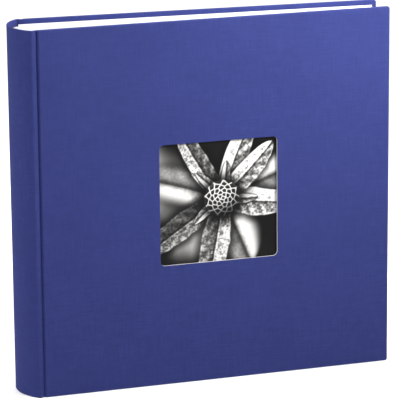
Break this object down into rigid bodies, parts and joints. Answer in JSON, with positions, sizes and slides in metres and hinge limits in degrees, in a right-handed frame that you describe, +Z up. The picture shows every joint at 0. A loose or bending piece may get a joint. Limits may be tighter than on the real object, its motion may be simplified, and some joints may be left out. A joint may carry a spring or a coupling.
{
  "type": "photo album",
  "caption": "Square cloth-covered book-bound photo album with a rounded spine, French grooves, hinged covers, a framed picture window in the front cover and scored leaves bound on guards.",
  "frame": {"origin": "middle of the closed album's footprint, at its foot", "axes": "+X from the spine to the fore-edge, +Y from the front cover to the back cover, +Z up the height of the cover"},
  "size_m": [0.3128, 0.055, 0.3],
  "materials": {
    "book_cloth": "matte",
    "greyboard": "matte",
    "spine_card": "matte",
    "backing_card": "matte",
    "picture_print": "gloss",
    "endpaper": "matte",
    "guard_card": "matte",
    "leaf_card": "matte",
    "mull_gauze": "matte",
    "kraft_paper": "matte"
  },
  "bodies": {
    "spine": {"spine_cloth": "book_cloth", "spine_inlay": "spine_card", "front_joint_cloth": "book_cloth", "back_joint_cloth": "book_cloth", "spine_liner": "kraft_paper", "spine_gauze": "mull_gauze", "stub_section_1": "guard_card", "stub_section_2": "guard_card", "stub_section_3": "guard_card", "stub_section_4": "guard_card", "stub_section_5": "guard_card"},
    "front_cover": {"front_cover_cloth": "book_cloth", "front_board": "greyboard", "window_picture": "picture_print", "picture_backing": "backing_card", "front_pastedown": "endpaper"},
    "back_cover": {"back_cover_cloth": "book_cloth", "back_board": "greyboard", "back_pastedown": "endpaper"},
    "front_flyleaf": {"front_flyleaf": "endpaper"},
    "back_flyleaf": {"back_flyleaf": "endpaper"},
    "leaf_pair_01": {"leaf_pair_01": "leaf_card"},
    "leaf_pair_02": {"leaf_pair_02": "leaf_card"},
    "leaf_pair_03": {"leaf_pair_03": "leaf_card"},
    "leaf_pair_04": {"leaf_pair_04": "leaf_card"},
    "leaf_pair_05": {"leaf_pair_05": "leaf_card"},
    "leaf_pair_06": {"leaf_pair_06": "leaf_card"},
    "leaf_pair_07": {"leaf_pair_07": "leaf_card"},
    "leaf_pair_08": {"leaf_pair_08": "leaf_card"},
    "leaf_pair_09": {"leaf_pair_09": "leaf_card"},
    "leaf_pair_10": {"leaf_pair_10": "leaf_card"},
    "leaf_pair_11": {"leaf_pair_11": "leaf_card"},
    "leaf_pair_12": {"leaf_pair_12": "leaf_card"},
    "leaf_pair_13": {"leaf_pair_13": "leaf_card"},
    "leaf_pair_14": {"leaf_pair_14": "leaf_card"},
    "leaf_pair_15": {"leaf_pair_15": "leaf_card"},
    "leaf_pair_16": {"leaf_pair_16": "leaf_card"},
    "leaf_pair_17": {"leaf_pair_17": "leaf_card"},
    "leaf_pair_18": {"leaf_pair_18": "leaf_card"},
    "leaf_pair_19": {"leaf_pair_19": "leaf_card"},
    "leaf_pair_20": {"leaf_pair_20": "leaf_card"},
    "leaf_pair_21": {"leaf_pair_21": "leaf_card"},
    "leaf_pair_22": {"leaf_pair_22": "leaf_card"},
    "leaf_pair_23": {"leaf_pair_23": "leaf_card"},
    "leaf_pair_24": {"leaf_pair_24": "leaf_card"},
    "leaf_pair_25": {"leaf_pair_25": "leaf_card"},
    "leaf_pair_26": {"leaf_pair_26": "leaf_card"}
  },
  "joints": [
    {"name": "front_cover_hinge", "type": "hinge", "parent": "spine", "child": "front_cover", "pos_m": [-0.14042, -0.02765, 0.15], "axis": [0, 0, -1], "range_deg": [0, 175], "deforming": ["front_joint_cloth"]},
    {"name": "back_cover_hinge", "type": "hinge", "parent": "spine", "child": "back_cover", "pos_m": [-0.14042, 0.02765, 0.15], "axis": [0, 0, 1], "range_deg": [0, 175], "deforming": ["back_joint_cloth"]},
    {"name": "leaf_pair_01_score", "type": "hinge", "parent": "spine", "child": "leaf_pair_01", "pos_m": [-0.12842, -0.02215, 0.15], "axis": [0, 0, -1], "range_deg": [0, 70.01]},
    {"name": "leaf_pair_02_score", "type": "hinge", "parent": "spine", "child": "leaf_pair_02", "pos_m": [-0.12842, -0.02038, 0.15], "axis": [0, 0, -1], "range_deg": [0, 64.41]},
    {"name": "leaf_pair_03_score", "type": "hinge", "parent": "spine", "child": "leaf_pair_03", "pos_m": [-0.12842, -0.0186, 0.15], "axis": [0, 0, -1], "range_deg": [0, 58.81]},
    {"name": "leaf_pair_04_score", "type": "hinge", "parent": "spine", "child": "leaf_pair_04", "pos_m": [-0.12842, -0.01683, 0.15], "axis": [0, 0, -1], "range_deg": [0, 53.21]},
    {"name": "leaf_pair_05_score", "type": "hinge", "parent": "spine", "child": "leaf_pair_05", "pos_m": [-0.12842, -0.01506, 0.15], "axis": [0, 0, -1], "range_deg": [0, 47.61]},
    {"name": "leaf_pair_06_score", "type": "hinge", "parent": "spine", "child": "leaf_pair_06", "pos_m": [-0.12842, -0.01329, 0.15], "axis": [0, 0, -1], "range_deg": [0, 42.01]},
    {"name": "leaf_pair_07_score", "type": "hinge", "parent": "spine", "child": "leaf_pair_07", "pos_m": [-0.12842, -0.01152, 0.15], "axis": [0, 0, -1], "range_deg": [0, 36.41]},
    {"name": "leaf_pair_08_score", "type": "hinge", "parent": "spine", "child": "leaf_pair_08", "pos_m": [-0.12842, -0.00975, 0.15], "axis": [0, 0, -1], "range_deg": [0, 30.81]},
    {"name": "leaf_pair_09_score", "type": "hinge", "parent": "spine", "child": "leaf_pair_09", "pos_m": [-0.12842, -0.00797, 0.15], "axis": [0, 0, -1], "range_deg": [0, 25.21]},
    {"name": "leaf_pair_10_score", "type": "hinge", "parent": "spine", "child": "leaf_pair_10", "pos_m": [-0.12842, -0.0062, 0.15], "axis": [0, 0, -1], "range_deg": [0, 19.61]},
    {"name": "leaf_pair_11_score", "type": "hinge", "parent": "spine", "child": "leaf_pair_11", "pos_m": [-0.12842, -0.00443, 0.15], "axis": [0, 0, -1], "range_deg": [0, 14.01]},
    {"name": "leaf_pair_12_score", "type": "hinge", "parent": "spine", "child": "leaf_pair_12", "pos_m": [-0.12842, -0.00266, 0.15], "axis": [0, 0, -1], "range_deg": [0, 8.41]},
    {"name": "leaf_pair_13_score", "type": "hinge", "parent": "spine", "child": "leaf_pair_13", "pos_m": [-0.12842, -0.00089, 0.15], "axis": [0, 0, -1], "range_deg": [0, 2.81]},
    {"name": "leaf_pair_14_score", "type": "hinge", "parent": "spine", "child": "leaf_pair_14", "pos_m": [-0.12842, 0.00089, 0.15], "axis": [0, 0, 1], "range_deg": [0, 2.81]},
    {"name": "leaf_pair_15_score", "type": "hinge", "parent": "spine", "child": "leaf_pair_15", "pos_m": [-0.12842, 0.00266, 0.15], "axis": [0, 0, 1], "range_deg": [0, 8.41]},
    {"name": "leaf_pair_16_score", "type": "hinge", "parent": "spine", "child": "leaf_pair_16", "pos_m": [-0.12842, 0.00443, 0.15], "axis": [0, 0, 1], "range_deg": [0, 14.01]},
    {"name": "leaf_pair_17_score", "type": "hinge", "parent": "spine", "child": "leaf_pair_17", "pos_m": [-0.12842, 0.0062, 0.15], "axis": [0, 0, 1], "range_deg": [0, 19.61]},
    {"name": "leaf_pair_18_score", "type": "hinge", "parent": "spine", "child": "leaf_pair_18", "pos_m": [-0.12842, 0.00797, 0.15], "axis": [0, 0, 1], "range_deg": [0, 25.21]},
    {"name": "leaf_pair_19_score", "type": "hinge", "parent": "spine", "child": "leaf_pair_19", "pos_m": [-0.12842, 0.00975, 0.15], "axis": [0, 0, 1], "range_deg": [0, 30.81]},
    {"name": "leaf_pair_20_score", "type": "hinge", "parent": "spine", "child": "leaf_pair_20", "pos_m": [-0.12842, 0.01152, 0.15], "axis": [0, 0, 1], "range_deg": [0, 36.41]},
    {"name": "leaf_pair_21_score", "type": "hinge", "parent": "spine", "child": "leaf_pair_21", "pos_m": [-0.12842, 0.01329, 0.15], "axis": [0, 0, 1], "range_deg": [0, 42.01]},
    {"name": "leaf_pair_22_score", "type": "hinge", "parent": "spine", "child": "leaf_pair_22", "pos_m": [-0.12842, 0.01506, 0.15], "axis": [0, 0, 1], "range_deg": [0, 47.61]},
    {"name": "leaf_pair_23_score", "type": "hinge", "parent": "spine", "child": "leaf_pair_23", "pos_m": [-0.12842, 0.01683, 0.15], "axis": [0, 0, 1], "range_deg": [0, 53.21]},
    {"name": "leaf_pair_24_score", "type": "hinge", "parent": "spine", "child": "leaf_pair_24", "pos_m": [-0.12842, 0.0186, 0.15], "axis": [0, 0, 1], "range_deg": [0, 58.81]},
    {"name": "leaf_pair_25_score", "type": "hinge", "parent": "spine", "child": "leaf_pair_25", "pos_m": [-0.12842, 0.02038, 0.15], "axis": [0, 0, 1], "range_deg": [0, 64.41]},
    {"name": "leaf_pair_26_score", "type": "hinge", "parent": "spine", "child": "leaf_pair_26", "pos_m": [-0.12842, 0.02215, 0.15], "axis": [0, 0, 1], "range_deg": [0, 70.01]},
    {"name": "front_flyleaf_score", "type": "hinge", "parent": "spine", "child": "front_flyleaf", "pos_m": [-0.12842, -0.02296, 0.15], "axis": [0, 0, -1], "range_deg": [0, 75.61]},
    {"name": "back_flyleaf_score", "type": "hinge", "parent": "spine", "child": "back_flyleaf", "pos_m": [-0.12842, 0.02296, 0.15], "axis": [0, 0, 1], "range_deg": [0, 75.61]}
  ],
  "couplings": [
    {"joint": "leaf_pair_01_score", "follows": "front_cover_hinge", "ratio": 0.4},
    {"joint": "leaf_pair_02_score", "follows": "front_cover_hinge", "ratio": 0.368},
    {"joint": "leaf_pair_03_score", "follows": "front_cover_hinge", "ratio": 0.336},
    {"joint": "leaf_pair_04_score", "follows": "front_cover_hinge", "ratio": 0.304},
    {"joint": "leaf_pair_05_score", "follows": "front_cover_hinge", "ratio": 0.272},
    {"joint": "leaf_pair_06_score", "follows": "front_cover_hinge", "ratio": 0.24},
    {"joint": "leaf_pair_07_score", "follows": "front_cover_hinge", "ratio": 0.208},
    {"joint": "leaf_pair_08_score", "follows": "front_cover_hinge", "ratio": 0.176},
    {"joint": "leaf_pair_09_score", "follows": "front_cover_hinge", "ratio": 0.144},
    {"joint": "leaf_pair_10_score", "follows": "front_cover_hinge", "ratio": 0.112},
    {"joint": "leaf_pair_11_score", "follows": "front_cover_hinge", "ratio": 0.08},
    {"joint": "leaf_pair_12_score", "follows": "front_cover_hinge", "ratio": 0.048},
    {"joint": "leaf_pair_13_score", "follows": "front_cover_hinge", "ratio": 0.016},
    {"joint": "leaf_pair_14_score", "follows": "back_cover_hinge", "ratio": 0.016},
    {"joint": "leaf_pair_15_score", "follows": "back_cover_hinge", "ratio": 0.048},
    {"joint": "leaf_pair_16_score", "follows": "back_cover_hinge", "ratio": 0.08},
    {"joint": "leaf_pair_17_score", "follows": "back_cover_hinge", "ratio": 0.112},
    {"joint": "leaf_pair_18_score", "follows": "back_cover_hinge", "ratio": 0.144},
    {"joint": "leaf_pair_19_score", "follows": "back_cover_hinge", "ratio": 0.176},
    {"joint": "leaf_pair_20_score", "follows": "back_cover_hinge", "ratio": 0.208},
    {"joint": "leaf_pair_21_score", "follows": "back_cover_hinge", "ratio": 0.24},
    {"joint": "leaf_pair_22_score", "follows": "back_cover_hinge", "ratio": 0.272},
    {"joint": "leaf_pair_23_score", "follows": "back_cover_hinge", "ratio": 0.304},
    {"joint": "leaf_pair_24_score", "follows": "back_cover_hinge", "ratio": 0.336},
    {"joint": "leaf_pair_25_score", "follows": "back_cover_hinge", "ratio": 0.368},
    {"joint": "leaf_pair_26_score", "follows": "back_cover_hinge", "ratio": 0.4},
    {"joint": "front_flyleaf_score", "follows": "front_cover_hinge", "ratio": 0.432},
    {"joint": "back_flyleaf_score", "follows": "back_cover_hinge", "ratio": 0.432}
  ]
}
